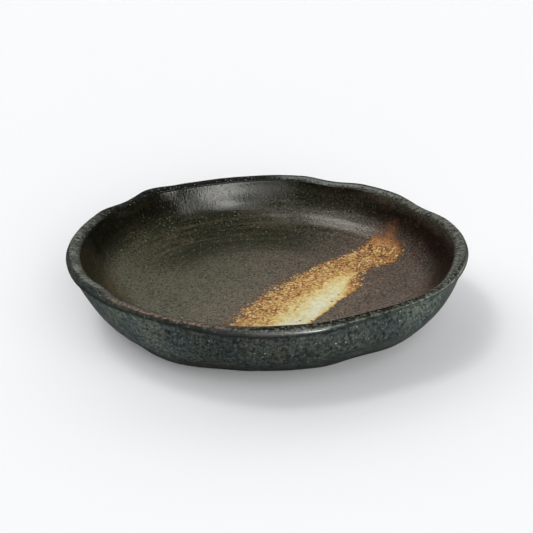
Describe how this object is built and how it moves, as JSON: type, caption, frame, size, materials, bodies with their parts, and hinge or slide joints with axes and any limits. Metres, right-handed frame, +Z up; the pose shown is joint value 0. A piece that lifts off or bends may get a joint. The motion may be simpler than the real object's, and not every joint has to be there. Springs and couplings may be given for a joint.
{
  "type": "deep plate",
  "caption": "Round deep serving plate of dark glazed stoneware with a hand-pinched wavy rim, rolled lip, low foot ring and a pale glaze stroke across the floor.",
  "frame": {"origin": "middle of the foot ring's resting plane", "axes": "+Z up through the middle of the floor, -Y towards the side seen in front in the picture, +X to its right"},
  "size_m": [0.1793, 0.1762, 0.0321],
  "materials": {
    "bare_clay": "unglazed fired stoneware, rough",
    "brown_black_glaze": "semi-matt iron glaze with fine pale specks",
    "green_black_glaze": "semi-matt iron glaze with fine pale specks",
    "pale_glaze": "satin cream glaze breaking to rust at its edges"
  },
  "bodies": {
    "root": {"clay_body": "bare_clay", "foot_ring": "bare_clay", "inner_glaze": "brown_black_glaze", "outer_glaze": "green_black_glaze", "well_glaze": "green_black_glaze", "accent_stroke": "pale_glaze"}
  },
  "joints": []
}
